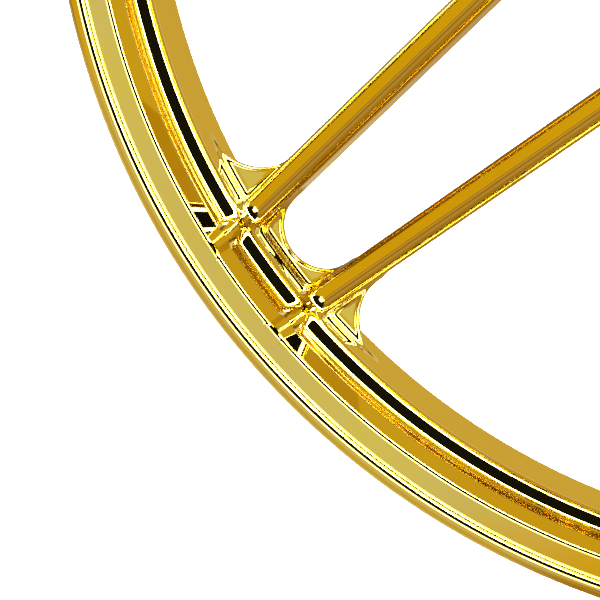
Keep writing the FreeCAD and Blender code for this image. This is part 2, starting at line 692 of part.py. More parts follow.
def core_pin():
    """Pin of the valve core: a head to press, a ledge for the spring and a seal under the sleeve."""
    seal_low = CORE_SLEEVE_BOTTOM - CORE_SEAT_DROP
    seal_high = CORE_SLEEVE_BOTTOM - SPRING_GAP
    tip = VALVE_STEM_TOP - 0.3
    ledge_low = PIN_LEDGE_TOP - PIN_LEDGE_THICKNESS
    return upright_section([
        (0, seal_low), (PIN_SEAL_RADIUS - 0.4, seal_low), (PIN_SEAL_RADIUS, seal_low + 0.4),
        (PIN_SEAL_RADIUS, seal_high), (PIN_RADIUS, seal_high), (PIN_RADIUS, ledge_low),
        (PIN_LEDGE_RADIUS, ledge_low), (PIN_LEDGE_RADIUS, PIN_LEDGE_TOP), (PIN_RADIUS, PIN_LEDGE_TOP),
        (PIN_RADIUS, tip - 0.2), (PIN_RADIUS - 0.2, tip), (0, tip),
    ])


def core_spring():
    """Spring round the pin, between the sleeve's shelf and the pin's ledge."""
    low = CORE_SLEEVE_BOTTOM + CORE_SHELF_THICKNESS + SPRING_WIRE_RADIUS + SPRING_GAP
    high = PIN_LEDGE_TOP - PIN_LEDGE_THICKNESS - SPRING_WIRE_RADIUS - SPRING_GAP
    helix = Part.makeHelix((high - low) / SPRING_TURNS, high - low, SPRING_COIL_RADIUS)
    start = Vector(SPRING_COIL_RADIUS, 0, 0)
    ring = Part.Wire(Part.makeCircle(SPRING_WIRE_RADIUS, start, Vector(0, 1, 0)))
    coil = Part.Wire(helix).makePipeShell([ring], True, True)
    coil.translate(Vector(0, 0, low))
    return coil


def valve_cap():
    """Cap over the stem's end, with flats round its skirt for the fingers."""
    low = VALVE_STEM_TOP - CAP_HEIGHT + CAP_ROOF
    high = VALVE_STEM_TOP + CAP_ROOF + CAP_SKIRT_TOP_GAP
    bore = VALVE_STEM_RADIUS + RUNNING_CLEARANCE
    cap = upright_section([
        (bore, low), (CAP_RADIUS - 0.4, low), (CAP_RADIUS, low + 0.4), (CAP_RADIUS, high - 1),
        (CAP_RADIUS - 1, high), (0, high), (0, high - CAP_ROOF), (bore, high - CAP_ROOF),
    ])
    flutes = []
    for number in range(12):
        angle = radians(number * 30)
        foot = Vector((CAP_RADIUS + 0.35) * cos(angle), (CAP_RADIUS + 0.35) * sin(angle), low - 1)
        flutes.append(Part.makeCylinder(0.8, CAP_HEIGHT - 2, foot))
    return cap.cut(flutes)


# ---------------------------------------------------------------- files

os.makedirs("parts", exist_ok=True)

pieces = casting_pieces()
pieces.update({
    "bearing_spacer_tube": spacer_tube(),
    "retaining_ring_left": retaining_ring(),
    "valve_stem": valve_piece(valve_stem()),
    "valve_grommet": valve_piece(valve_grommet()),
    "valve_washer": valve_piece(valve_washer()),
    "valve_nut": valve_piece(valve_nut()),
    "valve_core_sleeve": valve_piece(core_sleeve()),
    "valve_core_pin": valve_piece(core_pin()),
    "valve_core_spring": valve_piece(core_spring()),
    "valve_cap": valve_piece(valve_cap()),
})
for hand, side in (("left", LEFT), ("right", RIGHT)):
    pieces["bearing_inner_ring_" + hand] = bearing_inner_ring(side)
    pieces["bearing_outer_ring_" + hand] = bearing_outer_ring(side)
    pieces["bearing_balls_" + hand] = bearing_balls(side)
    pieces["bearing_cage_" + hand] = bearing_cage(side)
    pieces["bearing_inboard_seal_" + hand] = bearing_seal(side, BEARING_INNER_Y + 0.1)
    pieces["bearing_outboard_seal_" + hand] = bearing_seal(side, BEARING_OUTER_Y - SEAL_THICKNESS - 0.1)
    pieces["axle_collar_" + hand] = axle_collar(side)
    pieces["dust_seal_" + hand] = dust_seal(side)

for node, shape in pieces.items():
    shape.exportStep("parts/" + node + ".step")
    print(node, "valid", shape.isValid(), "solids", len(shape.Solids), "volume", round(shape.Volume, 1))
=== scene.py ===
"""Cast spoked front wheel in gold chrome, with its hub bearings, axle collars and tyre valve.

Lengths inside the shape functions are millimetres, and make_piece turns them into metres. The wheel turns
about Y. A place in the wheel's plane is (x, z), and its polar angle runs from +X to +Z. "Hub side" is the
side of the rim that faces the hub, "tyre side" the side that the tyre covers. A field is a function of
position that is negative in metal, positive in air and about the distance to the surface near it.
"""
import bpy
import numpy as np
from mathutils import Matrix, Vector


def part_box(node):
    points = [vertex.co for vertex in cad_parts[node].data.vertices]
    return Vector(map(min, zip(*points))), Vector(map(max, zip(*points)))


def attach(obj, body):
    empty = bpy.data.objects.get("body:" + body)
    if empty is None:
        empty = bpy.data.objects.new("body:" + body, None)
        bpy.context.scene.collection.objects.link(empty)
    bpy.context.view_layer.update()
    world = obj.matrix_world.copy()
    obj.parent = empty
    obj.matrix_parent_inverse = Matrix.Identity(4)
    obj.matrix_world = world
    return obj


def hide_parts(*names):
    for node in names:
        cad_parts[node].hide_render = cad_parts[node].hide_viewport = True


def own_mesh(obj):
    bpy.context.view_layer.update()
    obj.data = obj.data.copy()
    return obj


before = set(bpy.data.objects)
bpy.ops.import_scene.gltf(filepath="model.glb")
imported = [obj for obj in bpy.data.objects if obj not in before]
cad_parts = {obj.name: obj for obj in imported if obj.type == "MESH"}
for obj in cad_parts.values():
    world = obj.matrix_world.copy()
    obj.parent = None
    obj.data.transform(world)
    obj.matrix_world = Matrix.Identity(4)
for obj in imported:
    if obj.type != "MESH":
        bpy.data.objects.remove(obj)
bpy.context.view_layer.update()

METRE = 0.001


def cad_size(node, corner, axis):
    """One coordinate of a CAD node's box, in millimetres."""
    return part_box(node)[corner][axis] / METRE


# ---------------------------------------------------------------- sizes

RIM_RADIUS = cad_size("rim_flange_left", 1, 0)
LIP_FRONT = cad_size("rim_flange_left", 1, 1)
LIP_BEND = 3.05
INSIDE_HALF_WIDTH = cad_size("rim_flange_left", 0, 1)
WELL_HALF_WIDTH = cad_size("rim_well", 1, 1)
FLANGE_HEIGHT = 14.0
BEAD_SEAT_RADIUS = RIM_RADIUS - FLANGE_HEIGHT
BEAD_SEAT_BEND = 2.5
LIP_BACK_BEND = 2 * LIP_BEND + 0.45
WELL_SHOULDER_DROP = 1.3
WELL_SHOULDER_Y = 29.5
WELL_SHOULDER_BEND = 1.5
WELL_BEND = 2.0
RIM_SEGMENTS = 400
RIM_ARC_STEP = np.radians(8)
WELL_RADIUS = 261.0
FLOOR_RADIUS = 257.0
FLOOR_HALF_WIDTH = 29.1
CHANNEL_RADIUS = 263.6
CHANNEL_LEAN = np.radians(30)
CHANNEL_BEND = 5.4
SIDE_CORNER_RADIUS = 265.3
SIDE_CORNER_Y = 41.8
SIDE_CORNER_BEND = 0.8
CONE_TOP_RADIUS = 269.2
SIDE_FACE_Y = 49.6
SIDE_EDGE_BEND = 2.2
LIP_FOOT_RADIUS = 277.0
LIP_FOOT_Y = 50.3
LIP_FOOT_BEND = 0.7

PAIRS = 5
TURN = 2 * np.pi / PAIRS
HEADINGS = np.radians([223.87, 214.69])
OFFSETS = (-51.7, 27.9)
SECTOR_MIDDLE = np.radians(204.0)
GRID_HEADING = np.radians(219.3)
SPOKE_START_RADIUS = 54.0
SPOKE_HALF_WIDTHS = (6.2, 5.3)
SPOKE_HALF_DEPTHS = (22.0, 26.0)
SPOKE_CROWN = 1.0
SPOKE_FLANK_BEND = 0.3
RIB_HALF_WIDTHS = (4.8, 2.4)
RIB_FOOT = (255.3, 25.5)
RIB_HOLLOW = (262.1, 37.2)
RIB_TOP = (268.8, 48.9)
RIB_ROUNDNESS = 0.9
RIB_BLEND = 4.0
WEB_HALF_THICKNESS = 3.5
WEB_EDGE_BEND = 1.4
WEB_EDGE_RADIUS = 19.2
PAIR_WEB_EDGE_RADIUS = 15.47
WEB_FILLET = 2.2
RIM_FILLET = 2.4
NEIGHBOUR_BLEND = 5.0
ROOT_DEPTH = 1.4
FILLET_SHARE = 0.93
GRID_ALONG = ((4, 72, 1.1), (72, 214, 3.0), (214, 272.5, 0.62))
GRID_ACROSS = ((-68, 44, 0.68),)
GRID_DEPTH_SPACING = 0.66
GRID_DEPTH_STEPS = 75.5
SURFACE_ROUNDS = 4
SURFACE_REACH = 0.9
LONGEST_MOVE = 0.4
LEAST_SLOPE = 0.2

HUB_RING_RADIUS = 60.0
HUB_RING_HALF_WIDTH = 22.0
HUB_RING_BEND = 5.0
HUB_HALF_WIDTH = 50.0
HUB_FACE_OUTER = 49.5
HUB_FACE_INNER = 29.5
HUB_FLANGE_RADIUS = 52.0
HUB_FLANGE_Y = 38.0
HUB_WAIST_RADIUS = 48.0
HUB_WAIST_Y = 34.0
HUB_PILOT_RADIUS = 28.0
HUB_PILOT_Y = HUB_HALF_WIDTH + 4.0
BEARING_SEAT_RADIUS = 26.0
BEARING_SEAT_END_Y = 27.0
HUB_BORE_RADIUS = 23.0
HUB_BORE_END_Y = 23.0
HUB_CAVITY_RADIUS = 45.5
HUB_CAVITY_END_Y = 19.0
RING_GROOVE_RADIUS = 27.2
RING_GROOVE_YS = (43.5, 42.0)
HUB_SEGMENTS = 160
HUB_ARC_STEP = np.radians(10)
HUB_FACE_STEPS = 12
HUB_FACE_RINGS = 5
BOLT_CIRCLE_RADIUS = 41.275
BOLT_HOLE_RADIUS = 4.0
BOLT_HOLE_DEPTH = 18.0
BOLT_HOLE_EDGE = 0.3
BOLT_TIP_DEPTH = 2.0
BOLT_TIP_STEP = 0.05
BOLT_TIP_RADIUS = 0.02
BOLT_TIP_SLOPE = (0.45, 0.9)
BOLT_FIRST_ANGLE = np.radians(90.0)

VALVE_WAY = Vector((0.297375, 0.0, 0.954761))
SPRING_COIL_RADIUS = 1.1
SPRING_WIRE_RADIUS = 0.2
SPRING_TURNS = 7
SPRING_TURN_STEPS = 24
SPRING_WIRE_STEPS = 10
SPRING_END_RADIUS = 0.01
PIN_TRAVEL = 1.5


# ---------------------------------------------------------------- meshes

def make_piece(name, points, faces, normals, body, slot, material):
    """Mesh object from arrays in millimetres: points (n, 3), faces (m, 4) and point normals (n, 3)."""
    mesh = bpy.data.meshes.new(name)
    points = np.asarray(points, dtype=np.float64) * METRE
    faces = np.asarray(faces, dtype=np.int32)
    corners = faces.shape[1]
    mesh.vertices.add(len(points))
    mesh.vertices.foreach_set("co", points.ravel())
    mesh.loops.add(faces.size)
    mesh.loops.foreach_set("vertex_index", faces.ravel())
    mesh.polygons.add(len(faces))
    mesh.polygons.foreach_set("loop_start", np.arange(0, faces.size, corners, dtype=np.int32))
    mesh.update(calc_edges=True)
    mesh.validate()
    mesh.polygons.foreach_set("use_smooth", np.ones(len(mesh.polygons), dtype=bool))
    lengths = np.linalg.norm(normals, axis=1, keepdims=True)
    mesh.normals_split_custom_set_from_vertices(normals / np.maximum(lengths, 1e-9))
    mesh.update()
    piece = bpy.data.objects.new(name, mesh)
    bpy.context.scene.collection.objects.link(piece)
    mesh.materials.append(material)
    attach(piece, body)
    return piece


def rounded_outline(corners, closed, step):
    """Points and outward normals along a polygon whose corners are arcs of at most step per chord.

    Each corner is (radius, y, bend). The arc of radius bend touches both sides of its corner, and its centre
    lies on the corner's bisector. Outward is to the left of the way the corners run.
    """
    places = np.array([c[:2] for c in corners])
    count = len(corners)
    points = []
    normals = []
    for index, (radius, y, bend) in enumerate(corners):
        here = places[index]
        if not closed and index in (0, count - 1):
            other = places[1] - here if index == 0 else here - places[count - 2]
            along = other / np.linalg.norm(other)
            points.append(here)
            normals.append((-along[1], along[0]))
            continue
        into = here - places[index - 1]
        out = places[(index + 1) % count] - here
        into = into / np.linalg.norm(into)
        out = out / np.linalg.norm(out)
        turn = np.arctan2(into[0] * out[1] - into[1] * out[0], into @ out)
        back = bend * np.tan(abs(turn) / 2)
        left = np.array((-into[1], into[0]))
        centre = here - into * back + left * bend * np.sign(turn)
        pieces = max(int(np.ceil(abs(turn) / step)), 2)
        start = np.arctan2(*(-left * np.sign(turn))[::-1])
        for angle in start + turn * np.linspace(0, 1, pieces + 1):
            ray = np.array((np.cos(angle), np.sin(angle)))
            points.append(centre + ray * bend)
            normals.append(-ray * np.sign(turn))
    return np.array(points), np.array(normals)


def revolve(points, normals, segments, closed=True):
    """Surface of revolution about Y.

    The outline's point (r, y) at turn a becomes (r cos a, y, r sin a), and its normal turns with it.
    """
    angles = np.linspace(0, 2 * np.pi, segments, endpoint=False)
    wave = np.stack([np.cos(angles), np.sin(angles)], axis=1)
    count = len(points)

    def spin(values):
        grid = np.empty((segments, count, 3))
        grid[:, :, 0] = wave[:, :1] * values[None, :, 0]
        grid[:, :, 1] = values[None, :, 1]
        grid[:, :, 2] = wave[:, 1:] * values[None, :, 0]
        return grid.reshape(-1, 3)

    ring = np.arange(segments)[:, None]
    step = np.arange(count if closed else count - 1)[None, :]
    ahead = (ring + 1) % segments
    after = (step + 1) % count
    faces = np.stack([ring * count + step, ring * count + after, ahead * count + after, ahead * count + step],
                     axis=-1)
    return spin(points), faces.reshape(-1, 4), spin(normals)


def outward_faces(points, faces, normals):
    """The faces, turned where needed so that their winding agrees with the point normals."""
    a, b, c = (points[faces[:, k]] for k in range(3))
    facing = np.einsum("ij,ij->i", np.cross(b - a, c - a), normals[faces[:, 0]] + normals[faces[:, 2]])
    return np.where(facing[:, None] < 0, faces[:, ::-1], faces)


# ---------------------------------------------------------------- fields

def smooth_least(a, b, reach):
    """Least of two fields with a soft join: the least, less a quarter of reach times the overlap squared."""
    share = np.maximum(reach - np.abs(a - b), 0) / reach
    return np.minimum(a, b) - share * share * reach / 4


def smooth_most(a, b, reach):
    """Greatest of two fields with a soft edge."""
    return -smooth_least(-a, -b, reach)


def fillet_join(a, b, radius):
    """Union of two fields with a round fillet where they meet at about a right angle."""
    inside = np.hypot(np.maximum(radius - a, 0), np.maximum(radius - b, 0))
    return np.maximum(radius, np.minimum(a, b)) - inside


def round_cut(a, b, radius):
    """Intersection of two fields with a round edge where they meet at about a right angle."""
    outside = np.hypot(np.maximum(a + radius, 0), np.maximum(b + radius, 0))
    return np.minimum(np.maximum(a, b), -radius) + outside


def corner_field(rho, y, before, corner, after, bend):
    """Field of two faces that meet in a corner with a bend: round inside the corner's wedge, flat outside it.

    before, corner and after are (radius, y) places along the outline, with air to the left of the way.
    """
    before, corner, after = np.array(before), np.array(corner), np.array(after)
    into = (corner - before) / np.linalg.norm(corner - before)
    out = (after - corner) / np.linalg.norm(after - corner)
    turn = np.arctan2(into[0] * out[1] - into[1] * out[0], into @ out)
    side = np.sign(turn)
    left_in = np.array((-into[1], into[0]))
    left_out = np.array((-out[1], out[0]))
    centre = corner - into * bend * np.tan(abs(turn) / 2) + left_in * bend * side
    dx = rho - centre[0]
    dy = y - centre[1]
    flat_in = (dx * left_in[0] + dy * left_in[1]) * -side
    flat_out = (dx * left_out[0] + dy * left_out[1]) * -side
    past_in = dx * into[0] + dy * into[1]
    past_out = dx * out[0] + dy * out[1]
    round_part = np.hypot(dx, dy)
    blended = np.where((past_in > 0) & (past_out < 0), round_part, np.maximum(flat_in, flat_out))
    return (blended - bend) * -side


def channel_corners():
    """Corners of the rim's hub side, from its middle to its side face, as (radius, y, bend)."""
    rise = CHANNEL_RADIUS - FLOOR_RADIUS
    wall_y = FLOOR_HALF_WIDTH + rise * np.tan(CHANNEL_LEAN)
    return [
        (FLOOR_RADIUS, 0.0, 0.0),
        (FLOOR_RADIUS, FLOOR_HALF_WIDTH, CHANNEL_BEND),
        (CHANNEL_RADIUS, wall_y, CHANNEL_BEND),
        (SIDE_CORNER_RADIUS, SIDE_CORNER_Y, SIDE_CORNER_BEND),
        (CONE_TOP_RADIUS, SIDE_FACE_Y, SIDE_EDGE_BEND),
        (LIP_FOOT_RADIUS, LIP_FOOT_Y, 0.0),
    ]


def rim_field(rho, y):
    """The rim's hub side and side face: the nearest of the outline's rounded corners at each place."""
    corners = channel_corners()
    places = [c[:2] for c in corners]
    y = np.abs(y)
    field = corner_field(rho, y, *places[0:3], corners[1][2])
    for index in range(2, len(corners) - 1):
        middle = (np.array(places[index - 1]) + np.array(places[index])) / 2
        along = np.array(places[index]) - np.array(places[index - 1])
        past = (rho - middle[0]) * along[0] + (y - middle[1]) * along[1] > 0
        field = np.where(past, corner_field(rho, y, *places[index - 1:index + 2], corners[index][2]), field)
    return field


def hub_ring_field(rho, y):
    """The ring on the hub that the spokes grow from: a disc with round edges."""
    return round_cut(rho - HUB_RING_RADIUS, np.abs(y) - HUB_RING_HALF_WIDTH, HUB_RING_BEND)


def along_and_beside(x, z, which, turn=0.0):
    """Distance along a spoke's centre line and distance to its left."""
    heading = HEADINGS[which] + turn
    along = x * np.cos(heading) + z * np.sin(heading)
    beside = z * np.cos(heading) - x * np.sin(heading) - OFFSETS[which]
    return along, beside


def bar_field(x, y, z, which, turn=0.0):
    """A straight bar with flat flanks and round crests, slightly wider at the hub."""
    along, beside = along_and_beside(x, z, which, turn)
    start = np.sqrt(SPOKE_START_RADIUS ** 2 - OFFSETS[which] ** 2)
    share = np.clip((along - start) / (FLOOR_RADIUS - start), 0, 1)
    half_width = SPOKE_HALF_WIDTHS[0] + (SPOKE_HALF_WIDTHS[1] - SPOKE_HALF_WIDTHS[0]) * share
    half_depth = SPOKE_HALF_DEPTHS[0] + (SPOKE_HALF_DEPTHS[1] - SPOKE_HALF_DEPTHS[0]) * share
    crown = half_width * SPOKE_CROWN
    crest = np.hypot(beside, np.maximum(np.abs(y) - half_depth + crown, 0)) - crown
    bar = smooth_most(crest, np.abs(beside) - half_width, SPOKE_FLANK_BEND)
    return np.maximum(bar, start - along)


def circle_through(a, b, c):
    """Centre and radius of the circle through three places."""
    rows = 2 * np.array([np.subtract(b, a), np.subtract(c, a)])
    sums = np.array([np.dot(b, b) - np.dot(a, a), np.dot(c, c) - np.dot(a, a)])
    centre = np.linalg.solve(rows, sums)
    return centre, np.linalg.norm(np.subtract(a, centre))


def rib_field(x, y, z, which):
    """A rib over the channel. Its crest follows a flat arc in radius and y, and it narrows to the lip."""
    along, beside = along_and_beside(x, z, which)
    rho = np.hypot(x, z)
    centre, radius = circle_through(RIB_FOOT, RIB_HOLLOW, RIB_TOP)
    crest = radius - np.hypot(rho - centre[0], np.abs(y) - centre[1])
    crest = np.maximum(crest, RIB_FOOT[0] - rho)
    share = np.clip((rho - RIB_FOOT[0]) / (RIB_TOP[0] - RIB_FOOT[0]), 0, 1)
    half_width = RIB_HALF_WIDTHS[0] + (RIB_HALF_WIDTHS[1] - RIB_HALF_WIDTHS[0]) * share
    return np.maximum(round_cut(np.abs(beside) - half_width, crest, half_width * RIB_ROUNDNESS), -along)


def web_plate(y, distance, edge_radius):
    """Flat plate outside a circle of edge_radius, with a round free edge."""
    return round_cut(np.abs(y) - WEB_HALF_THICKNESS, edge_radius - distance, WEB_EDGE_BEND)


def spoke_place(which, beside, radius):
    """Place in the wheel's plane at a distance beside a spoke's centre line and at a radius."""
    heading = HEADINGS[which]
    offset = OFFSETS[which] + beside
    run = np.sqrt(radius ** 2 - offset ** 2)
    return np.array((run * np.cos(heading) - offset * np.sin(heading),
                     run * np.sin(heading) + offset * np.cos(heading)))


def outer_web_field(x, y, z, which, side):
    """Web between a spoke's outer flank and the rim, tangent to both at its ends."""
    reach = SPOKE_HALF_WIDTHS[1] + WEB_EDGE_RADIUS
    centre = spoke_place(which, side * reach, FLOOR_RADIUS - WEB_EDGE_RADIUS)
    along, beside = along_and_beside(x, z, which)
    centre_along, _ = along_and_beside(centre[0], centre[1], which)
    outward = centre / np.linalg.norm(centre)
    beyond = (outward[0] * z - outward[1] * x) * side
    plate = web_plate(y, np.hypot(x - centre[0], z - centre[1]), WEB_EDGE_RADIUS)
    return np.maximum(np.maximum(plate, -side * beside), np.maximum(centre_along - along, beyond))


def pair_web_field(x, y, z):
    """Web that closes the outer end of the gap inside a pair."""
    reach = SPOKE_HALF_WIDTHS[1] + PAIR_WEB_EDGE_RADIUS
    rows = [(-np.sin(h), np.cos(h)) for h in HEADINGS]
    centre = np.linalg.solve(np.array(rows), np.array((OFFSETS[0] + reach, OFFSETS[1] - reach)))
    outward = centre / np.linalg.norm(centre)
    plate = web_plate(y, np.hypot(x - centre[0], z - centre[1]), PAIR_WEB_EDGE_RADIUS)
    short = np.linalg.norm(centre) - (x * outward[0] + z * outward[1])
    _, first = along_and_beside(x, z, 0)
    _, second = along_and_beside(x, z, 1)
    return np.maximum(np.maximum(plate, short), np.maximum(-first, second))


def own_field(x, y, z):
    """Both spokes of the pair with their ribs and webs, and the bars of the neighbouring pairs."""
    spokes = None
    for which in range(2):
        bar = smooth_least(bar_field(x, y, z, which), rib_field(x, y, z, which), RIB_BLEND)
        spokes = bar if spokes is None else np.minimum(spokes, bar)
    webs = np.minimum(outer_web_field(x, y, z, 0, -1), outer_web_field(x, y, z, 1, 1))
    webs = np.minimum(webs, pair_web_field(x, y, z))
    own = fillet_join(spokes, webs, WEB_FILLET)
    before = bar_field(x, y, z, 1, -TURN)
    after = bar_field(x, y, z, 0, TURN)
    return smooth_least(smooth_least(own, before, NEIGHBOUR_BLEND), after, NEIGHBOUR_BLEND)


def rest_field(x, y, z):
    """The rim and the hub's ring, which the pair grows from."""
    rho = np.hypot(x, z)
    return np.minimum(rim_field(rho, y), hub_ring_field(rho, y))


def casting_field(x, y, z):
    """The pair joined to rim and hub with round fillets."""
    return fillet_join(rest_field(x, y, z), own_field(x, y, z), RIM_FILLET)


def pair_limits(x, y, z, own, rest):
    """What bounds the pair's own piece: its fillets' edge, a shallow root in rim and hub, and its sector."""
    low = SECTOR_MIDDLE - TURN / 2
    high = SECTOR_MIDDLE + TURN / 2
    sector = np.maximum(x * np.sin(low) - z * np.cos(low), z * np.cos(high) - x * np.sin(high))
    return np.maximum(np.maximum(own - FILLET_SHARE * RIM_FILLET, -(rest + ROOT_DEPTH)), sector)


# ---------------------------------------------------------------- surface of a field

def surface_net(us, vs, ws, field):
    """Surface where a field on a grid changes sign: one point in each cell that it crosses.

    The point is the mean of the crossings on the cell's edges, and each crossed grid edge gets the face of
    the four cells around it.
    """
    metal = field < 0
    rows, columns, layers = (size - 1 for size in metal.shape)
    count = sum(metal[i:rows + i, j:columns + j, k:layers + k].astype(np.int8)
                for i in (0, 1) for j in (0, 1) for k in (0, 1))
    cells = np.argwhere((count > 0) & (count < 8))
    number = np.full(count.shape, -1, dtype=np.int32)
    number[tuple(cells.T)] = np.arange(len(cells))
    axes = (us, vs, ws)
    total = np.zeros((len(cells), 3))
    hits = np.zeros(len(cells))
    for axis in range(3):
        for first in (0, 1):
            for second in (0, 1):
                start = cells.copy()
                others = [a for a in range(3) if a != axis]
                start[:, others[0]] += first
                start[:, others[1]] += second
                end = start.copy()
                end[:, axis] += 1
                f0 = field[tuple(start.T)]
                f1 = field[tuple(end.T)]
                crossed = (f0 < 0) != (f1 < 0)
                share = np.where(crossed, f0 / np.where(crossed, f0 - f1, 1), 0)
                place = np.stack([axes[a][start[:, a]] for a in range(3)], axis=1)
                place[:, axis] += share * (axes[axis][end[:, axis]] - axes[axis][start[:, axis]])
                total += place * crossed[:, None]
                hits += crossed
    points = total / hits[:, None]
    faces = []
    for axis in range(3):
        one, two = (axis + 1) % 3, (axis + 2) % 3
        low = [slice(None)] * 3
        high = [slice(None)] * 3
        low[axis] = slice(0, -1)
        high[axis] = slice(1, None)
        for other in (one, two):
            low[other] = slice(1, -1)
            high[other] = slice(1, -1)
        from_metal = metal[tuple(low)] & ~metal[tuple(high)]
        to_metal = ~metal[tuple(low)] & metal[tuple(high)]
        for found, flip in ((from_metal, False), (to_metal, True)):
            spot = np.argwhere(found)
            spot[:, one] += 1
            spot[:, two] += 1
            around = []
            for back_one, back_two in ((1, 1), (0, 1), (0, 0), (1, 0)):
                cell = spot.copy()
                cell[:, one] -= back_one
                cell[:, two] -= back_two
                around.append(number[tuple(cell.T)])
            quad = np.stack(around, axis=1)
            faces.append(quad[:, ::-1] if flip else quad)
    return points, np.concatenate(faces), cells


def gradient(function, points, step=0.01):
    """Slope of a function of place by central differences."""
    slope = np.empty_like(points)
    for axis in range(3):
        shift = np.zeros(3)
        shift[axis] = step
        ahead = points + shift
        behind = points - shift
        slope[:, axis] = (function(*ahead.T) - function(*behind.T)) / (2 * step)
    return slope


def spaced(*spans):
    """Grid lines in spans of (from, to, spacing)."""
    lines = [np.linspace(a, b, max(int(round((b - a) / gap)), 1), endpoint=False) for a, b, gap in spans]
    return np.concatenate(lines + [np.array([spans[-1][1]])])


def pair_surface():
    """Points, faces and normals of the first pair, made as one half and mirrored in the middle plane.

    Each round moves the points along the field's slope by value / slope squared, which lands them on it.
    """
    us = spaced(*GRID_ALONG)
    ws = spaced(*GRID_ACROSS)
    vs = np.arange(-GRID_DEPTH_STEPS, 1, 1) * GRID_DEPTH_SPACING
    u, v, w = np.meshgrid(us, vs, ws, indexing="ij", sparse=True)
    x = u * np.cos(GRID_HEADING) - w * np.sin(GRID_HEADING)
    z = u * np.sin(GRID_HEADING) + w * np.cos(GRID_HEADING)
    own = own_field(x, v, z)
    rest = rest_field(x, v, z)
    field = np.maximum(fillet_join(rest, own, RIM_FILLET), pair_limits(x, v, z, own, rest))
    local, faces, cells = surface_net(us, vs, ws, field)
    points = np.stack([local[:, 0] * np.cos(GRID_HEADING) - local[:, 2] * np.sin(GRID_HEADING), local[:, 1],
                       local[:, 0] * np.sin(GRID_HEADING) + local[:, 2] * np.cos(GRID_HEADING)], axis=1)
    middle = cells[:, 1] == len(vs) - 2
    points[middle, 1] = 0.0
    for _ in range(SURFACE_ROUNDS):
        value = casting_field(*points.T)
        slope = gradient(casting_field, points)
        size = np.maximum(np.einsum("ij,ij->i", slope, slope), LEAST_SLOPE)
        free = np.abs(value) < SURFACE_REACH
        move = np.clip(value / size, -LONGEST_MOVE, LONGEST_MOVE) * free
        points = points - slope * move[:, None]
        points[middle, 1] = 0.0
    normals = gradient(casting_field, points)
    normals[middle, 1] = 0.0
    count = len(points)
    twin = np.arange(count) + count
    twin[middle] = np.arange(count)[middle]
    mirror = np.array((1.0, -1.0, 1.0))
    all_points = np.concatenate([points, points * mirror])
    all_normals = np.concatenate([normals, normals * mirror])
    all_faces = np.concatenate([faces, twin[faces][:, ::-1]])
    used = np.unique(all_faces)
    renumber = np.full(len(all_points), -1)
    renumber[used] = np.arange(len(used))
    return all_points[used], renumber[all_faces], all_normals[used]


# ---------------------------------------------------------------- rim, hub and spoke pairs

def rim_surface():
    """Drop-centre rim: the closed outline of one side, joined to its mirror image, spun about Y."""
    half = channel_corners()[1:-1] + [
        (LIP_FOOT_RADIUS, LIP_FOOT_Y, LIP_FOOT_BEND),
        (LIP_FOOT_RADIUS, LIP_FRONT, LIP_BEND),
        (RIM_RADIUS, LIP_FRONT, LIP_BEND),
        (RIM_RADIUS, INSIDE_HALF_WIDTH, LIP_BACK_BEND),
        (BEAD_SEAT_RADIUS, INSIDE_HALF_WIDTH, BEAD_SEAT_BEND),
        (BEAD_SEAT_RADIUS - WELL_SHOULDER_DROP, WELL_SHOULDER_Y, WELL_SHOULDER_BEND),
        (WELL_RADIUS, WELL_HALF_WIDTH, WELL_BEND),
    ]
    other = [(radius, -y, bend) for radius, y, bend in reversed(half)]
    points, normals = rounded_outline(half + other, closed=True, step=RIM_ARC_STEP)
    points, faces, normals = revolve(points, normals, RIM_SEGMENTS)
    return points, outward_faces(points, faces, normals), normals


def hub_outlines():
    """Outer outline and bore outline of the hub, both open where the end faces lie."""
    outer_half = [
        (HUB_FACE_OUTER, HUB_HALF_WIDTH, 0.0), (HUB_FLANGE_RADIUS, HUB_HALF_WIDTH, 1.0),
        (HUB_FLANGE_RADIUS, HUB_FLANGE_Y, 1.0), (HUB_WAIST_RADIUS, HUB_WAIST_Y, 2.0),
        (HUB_WAIST_RADIUS, HUB_RING_HALF_WIDTH, 3.0), (HUB_RING_RADIUS, HUB_RING_HALF_WIDTH, HUB_RING_BEND),
    ]
    outer = outer_half + [(radius, -y, bend) for radius, y, bend in reversed(outer_half)]
    mouth = [
        (HUB_FACE_INNER, HUB_HALF_WIDTH, 0.0), (HUB_PILOT_RADIUS, HUB_HALF_WIDTH, 0.4),
        (HUB_PILOT_RADIUS, HUB_PILOT_Y, 0.6), (BEARING_SEAT_RADIUS, HUB_PILOT_Y, 0.4),
    ]
    seat = [
        (BEARING_SEAT_RADIUS, BEARING_SEAT_END_Y, 0.2), (HUB_BORE_RADIUS, BEARING_SEAT_END_Y, 0.2),
        (HUB_BORE_RADIUS, HUB_BORE_END_Y, 0.2), (HUB_CAVITY_RADIUS, HUB_CAVITY_END_Y, 1.0),
    ]
    outer_y, inner_y = RING_GROOVE_YS
    groove = [
        (BEARING_SEAT_RADIUS, outer_y, 0.1), (RING_GROOVE_RADIUS, outer_y, 0.1),
        (RING_GROOVE_RADIUS, inner_y, 0.1), (BEARING_SEAT_RADIUS, inner_y, 0.1),
    ]
    right = [(radius, -y, bend) for radius, y, bend in mouth + seat]
    left = list(reversed(mouth + groove + seat))
    return outer, right + left


